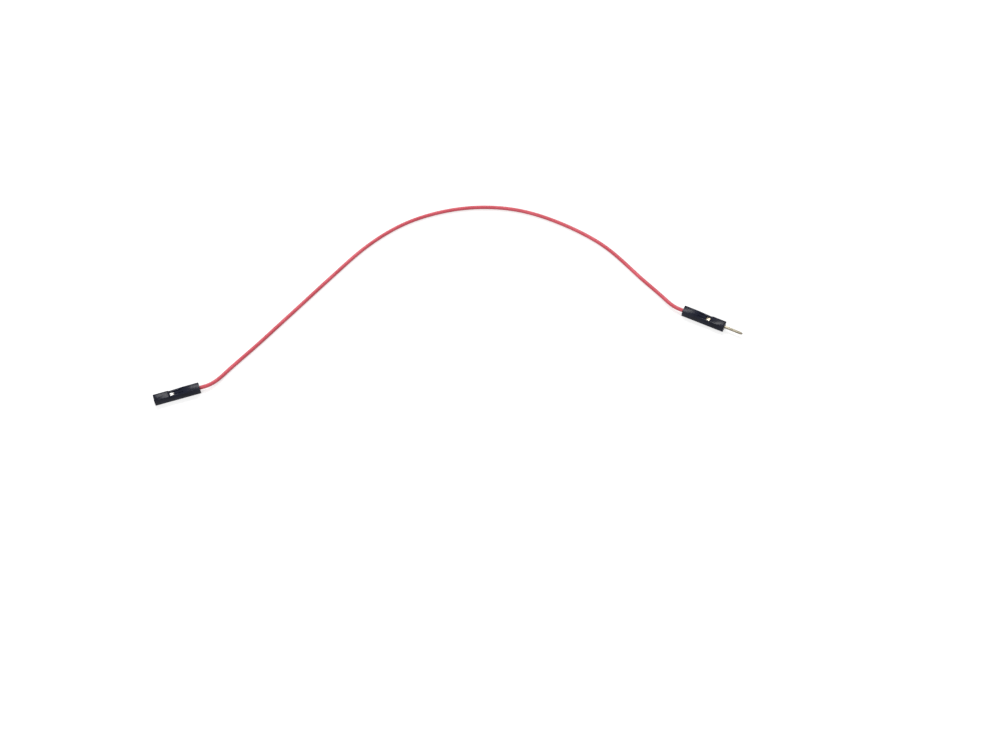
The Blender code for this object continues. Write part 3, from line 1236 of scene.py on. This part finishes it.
@dataclass(frozen=True)
class Route:
    """The wire's way over the table, between the two housings, in metres."""

    socket: Seat
    pin: Seat
    radius: float = 0.0006
    straight_run: float = 0.0015
    drop_length: float = 0.0100
    points: tuple[Point2, ...] = (
        (-0.0718, -0.0094), (-0.0692, -0.0060), (-0.0663, -0.0024), (-0.0605, 0.0045),
        (-0.0550, 0.0114), (-0.0495, 0.0183), (-0.0435, 0.0259), (-0.0375, 0.0334),
        (-0.0313, 0.0409), (-0.0246, 0.0475), (-0.0168, 0.0532), (-0.0079, 0.0573),
        (0.0021, 0.0598), (0.0121, 0.0603), (0.0221, 0.0587), (0.0316, 0.0550),
        (0.0406, 0.0499), (0.0488, 0.0436), (0.0558, 0.0357), (0.0613, 0.0289),
        (0.0665, 0.0227),
    )

    @staticmethod
    def slopes(knots: np.ndarray, points: np.ndarray, first: np.ndarray,
               last: np.ndarray) -> np.ndarray:
        """Slopes of the cubic spline whose two end slopes are given.

        Args:
            knots: The place of each point along the spline.
            points: The points.
            first: The slope at the first point.
            last: The slope at the last point.

        Returns:
            The slope at each point.
        """
        count = len(points)
        system = np.eye(count)
        right = np.zeros((count, 2))
        right[0], right[-1] = first, last
        steps = np.diff(knots)[:, None]
        chords = np.diff(points, axis=0) / steps
        for i in range(1, count - 1):
            before, after = steps[i - 1, 0], steps[i, 0]
            system[i, i - 1:i + 2] = after, 2 * (before + after), before
            right[i] = 3 * (after * chords[i - 1] + before * chords[i])
        return np.linalg.solve(system, right)

    def axis(self, inner_end: float, spacing: float) -> np.ndarray:
        """Points along the wire's axis.

        Args:
            inner_end: How far the wire goes on inside each housing.
            spacing: The distance between two points.

        Returns:
            The points, from the socket's end to the pin's.
        """
        leave, arrive = -self.socket.direction(), self.pin.direction()
        start, stop = np.array(self.socket.rear), np.array(self.pin.rear)
        knot_points = np.array([start + leave * self.straight_run, *self.points,
                                stop - arrive * self.straight_run])
        knots = self.run(knot_points)
        slopes = self.slopes(knots, knot_points, leave, arrive)
        inner = np.arange(inner_end, 0.0, -spacing)[:, None]
        path = [*(start - leave * inner), start]
        for t in np.linspace(0.0, knots[-1], round(knots[-1] / spacing) + 1):
            i = min(int(np.searchsorted(knots, t, side="right")) - 1, len(knots) - 2)
            h = knots[i + 1] - knots[i]
            u = (t - knots[i]) / h
            path.append((2 * u**3 - 3 * u**2 + 1) * knot_points[i]
                        + (u**3 - 2 * u**2 + u) * h * slopes[i]
                        + (3 * u**2 - 2 * u**3) * knot_points[i + 1]
                        + (u**3 - u**2) * h * slopes[i + 1])
        path = np.array([*path, stop, *(stop + arrive * inner[::-1])])
        run = self.run(path)
        from_housing = np.minimum(run, run[-1] - run) - inner_end - self.straight_run
        fall = np.clip(from_housing / self.drop_length, 0.0, 1.0)
        lift = (self.socket.height - self.radius) * (0.5 + 0.5 * np.cos(math.pi * fall))
        return np.column_stack([path, self.radius + lift])

    @staticmethod
    def run(path: np.ndarray) -> np.ndarray:
        """How far along the path each of its points is."""
        steps = np.linalg.norm(np.diff(path, axis=0), axis=1)
        return np.concatenate([[0.0], np.cumsum(steps)])

    @staticmethod
    def cross_axes(path: np.ndarray) -> tuple[np.ndarray, np.ndarray]:
        """Two unit vectors across a path at each of its points.

        Args:
            path: The points.

        Returns:
            The level vectors and the upward ones.
        """
        along = np.gradient(path, axis=0)
        along /= np.linalg.norm(along, axis=1)[:, None]
        across = np.cross(along, (0.0, 0.0, 1.0))
        across /= np.linalg.norm(across, axis=1)[:, None]
        return across, np.cross(across, along)


@dataclass(frozen=True)
class Wire:
    """The sleeve of insulation and the seven strands in it; sizes in metres."""

    route: Route
    bore_radius: float = 0.00024
    bore_stride: int = 4
    sleeve_end: float = 0.0039
    core_end: float = 0.00663
    spacing: float = 0.0007
    sides: int = 24
    rim: float = 0.00004
    smooth_under: float = math.radians(50.0)
    barrel_rear: float = 0.0020
    barrel_front: float = 0.0037
    grip: float = 0.00002
    strands: int = 7
    strand_radius: float = 0.00006
    strand_end_share: float = 0.8
    strand_pitch: float = 0.00015
    strand_lay: float = 0.0120
    strand_spacing: float = 0.0009
    strand_sides: int = 8
    strand_smooth_under: float = math.radians(60.0)

    def sleeve_radius(self, inside: np.ndarray) -> np.ndarray:
        """The sleeve's outer radius, a little less where the barrel grips it.

        Args:
            inside: How far inside its housing each point is, negative outside.

        Returns:
            The radius at each point.
        """
        gripped = (inside > self.barrel_rear) & (inside < self.barrel_front)
        return self.route.radius - self.grip * gripped

    def sleeve_mesh(self, path: np.ndarray) -> bpy.types.Mesh:
        """The sleeve with its wall, its two cut ends and the values that its finish reads.

        Args:
            path: The points that it follows.

        Returns:
            The mesh.
        """
        run = Route.run(path)
        inside = self.sleeve_end - np.minimum(run, run[-1] - run)
        radii = self.sleeve_radius(inside)
        first, last = path[0], path[-1]
        ends = [path[1] - first, path[-2] - last]
        ends = [self.rim * step / np.linalg.norm(step) for step in ends]
        outer = [(first, radii[0] - self.rim), (first + ends[0], radii[0])]
        outer += list(zip(path[1:-1], radii[1:-1]))
        outer += [(last + ends[1], radii[-1]), (last, radii[-1] - self.rim)]
        stride = self.bore_stride
        back = (last, *path[-stride:stride - 1:-stride], first)
        bore = [(point, self.bore_radius) for point in back]
        line = np.array([centre for centre, _ in outer])
        across, upward = Route.cross_axes(line)
        frames = [*range(len(outer)), *(self.nearest(line, centre) for centre in back)]
        rings = [circle(centre, radius, across[k], upward[k], self.sides)
                 for (centre, radius), k in zip(outer + bore, frames)]
        mesh = ring_mesh("sleeve", rings, capped=False, looped=True)
        runs = np.repeat(Route.run(line)[frames], self.sides)
        turn = circle(np.zeros(3), 1.0, np.array([1.0, 0.0, 0.0]), np.array([0.0, 1.0, 0.0]), self.sides)
        turns = np.tile(turn, (len(rings), 1))
        mesh.attributes.new("run", "FLOAT", "POINT").data.foreach_set("value", runs / MM)
        mesh.attributes.new("turn", "FLOAT_VECTOR", "POINT").data.foreach_set("vector", turns.ravel())
        mesh.shade_smooth()
        mesh.set_sharp_from_angle(angle=self.smooth_under)
        return mesh

    @staticmethod
    def nearest(points: np.ndarray, point: np.ndarray) -> int:
        """The index of the point that is nearest to another."""
        return int(np.linalg.norm(points - point, axis=1).argmin())

    def strand_mesh(self, number: int, core: np.ndarray) -> bpy.types.Mesh:
        """One strand: the first runs down the middle, and the others wind round it.

        Args:
            number: The strand's number, from 1.
            core: The middle of the wire.

        Returns:
            The mesh.
        """
        across, upward = Route.cross_axes(core)
        pitch = 0.0 if number == 1 else self.strand_pitch
        turn = 2 * math.pi * (Route.run(core) / self.strand_lay + number / (self.strands - 1))
        path = core + pitch * (np.cos(turn)[:, None] * across + np.sin(turn)[:, None] * upward)
        across, upward = Route.cross_axes(path)
        radii = np.full(len(path), self.strand_radius)
        radii[[0, -1]] *= self.strand_end_share
        mesh = ring_mesh("strand", [circle(*ring, self.strand_sides)
                                    for ring in zip(path, radii, across, upward)])
        mesh.shade_smooth()
        mesh.set_sharp_from_angle(angle=self.strand_smooth_under)
        return mesh

    def build(self) -> list[bpy.types.Object]:
        """Returns:
            The sleeve, then the strands.
        """
        core = self.route.axis(self.core_end, self.strand_spacing)
        copper = COPPER.material()
        strands = []
        for number in range(1, self.strands + 1):
            strand = Workpiece.placed(self.strand_mesh(number, core))
            strand.name = f"copper_strand_{number}"
            strand.data.materials.append(copper)
            stand_for(strand, f"strand_{number}")
            strands.append(strand)

        path = self.route.axis(self.sleeve_end, self.spacing)
        sleeve = Workpiece.placed(self.sleeve_mesh(path))
        sleeve.name = "red_sleeve"
        sleeve.data.materials.append(VINYL.material())
        stand_for(sleeve, "insulation")
        float(Route.run(path)[-1])
        return [sleeve, *strands]


@dataclass(frozen=True)
class Lamp:
    """A soft box; sizes in metres, power in watts."""

    name: str
    place: Point3
    width: float
    depth: float
    power: float

    def build(self, target: Vector) -> None:
        """Hang the lamp and turn it to the object.

        Args:
            target: What it looks at.
        """
        data = bpy.data.lights.new(self.name, "AREA")
        data.shape = "RECTANGLE"
        data.size, data.size_y = self.width, self.depth
        data.energy = self.power
        lamp = bpy.data.objects.new(self.name, data)
        lamp.location = self.place
        lamp.rotation_euler = (target - Vector(self.place)).to_track_quat("-Z", "Y").to_euler()
        bpy.context.scene.collection.objects.link(lamp)


@dataclass(frozen=True)
class Studio:
    """Pale table, soft light and the camera; sizes in metres, the lens in millimetres."""

    table_side: float = 1.2
    table_drop: float = 0.00003
    table_white: float = 0.52
    table_glow: float = 0.61
    sky: float = 0.50
    camera_place: Point3 = (0.0147, -0.2449, 0.3532)
    camera_tilt: float = math.radians(34.0)
    lens: float = 50.0
    lamps: tuple[Lamp, ...] = (
        Lamp("back_soft_box", (-0.04, 0.62, 0.86), 0.80, 0.15, 6.4),
        Lamp("front_soft_box", (-0.45, -0.70, 0.70), 0.60, 0.60, 4.2),
    )

    def build_table(self) -> None:
        """Lay the floor, which shows white to the camera and keeps the object's shadow."""
        work = bmesh.new()
        bmesh.ops.create_grid(work, x_segments=1, y_segments=1, size=self.table_side / 2)
        table = Workpiece.placed(mesh_from(work, "table"))
        table.location.z = -self.table_drop
        recipe = Recipe(bpy.data.materials.new("table_white"))
        diffuse = recipe.node("BsdfDiffuse", {}, {"Color": (self.table_white,) * 3})
        glow = recipe.node("Emission", {}, {"Strength": recipe.seen() * self.table_glow})
        both = recipe.node("AddShader", {}, {0: diffuse, 1: glow})
        recipe.feed(recipe.tree.nodes["Material Output"].inputs["Surface"], both)
        table.data.materials.append(recipe.owner)

    def build_sky(self) -> None:
        """Set an even sky, which shows white where it is seen or mirrored."""
        recipe = Recipe(bpy.data.worlds.new("sky"))
        bpy.context.scene.world = recipe.owner
        background = recipe.tree.nodes["Background"]
        recipe.feed(background.inputs["Color"], (1.0, 1.0, 1.0))
        recipe.feed(background.inputs["Strength"], self.sky + recipe.seen() * (1.0 - self.sky))

    def build_camera(self) -> None:
        """Set up the camera, at the photograph's viewing angle."""
        data = bpy.data.cameras.new("camera")
        data.lens = self.lens
        camera = bpy.data.objects.new("camera", data)
        camera.location = self.camera_place
        camera.rotation_euler = (self.camera_tilt, 0.0, 0.0)
        bpy.context.scene.collection.objects.link(camera)
        bpy.context.scene.camera = camera

    def build(self) -> None:
        """Set up the table, the light and the camera."""
        bpy.context.scene.view_settings.view_transform = "Standard"
        self.build_table()
        self.build_sky()
        self.build_camera()
        low, high = CAD_BOX
        for lamp in self.lamps:
            lamp.build((low + high) / 2)


def main() -> None:
    """Build the studio and the lead, and report each piece."""
    Studio().build()
    height = HousingSizes().side / 2 * MM
    socket_seat = Seat(SOCKET_REAR, SOCKET_HEADING, height)
    pin_seat = Seat(PIN_REAR, PIN_HEADING, height)
    pieces = Wire(Route(socket_seat, pin_seat)).build()
    pieces += [
        Housing("socket_housing_moulding", "socket_housing", socket_seat).build(),
        Housing("pin_housing_moulding", "pin_housing", pin_seat).build(),
        SocketContact("folded_socket", "socket_contact", socket_seat).build(),
        PinContact("folded_pin", "pin_contact", pin_seat).build(),
    ]
    for piece in pieces:
        log.info("%s: %d faces", piece.name, len(piece.data.polygons))


if __name__ == "__main__":
    logging.basicConfig(level=logging.INFO, format="%(name)s: %(message)s")
    main()
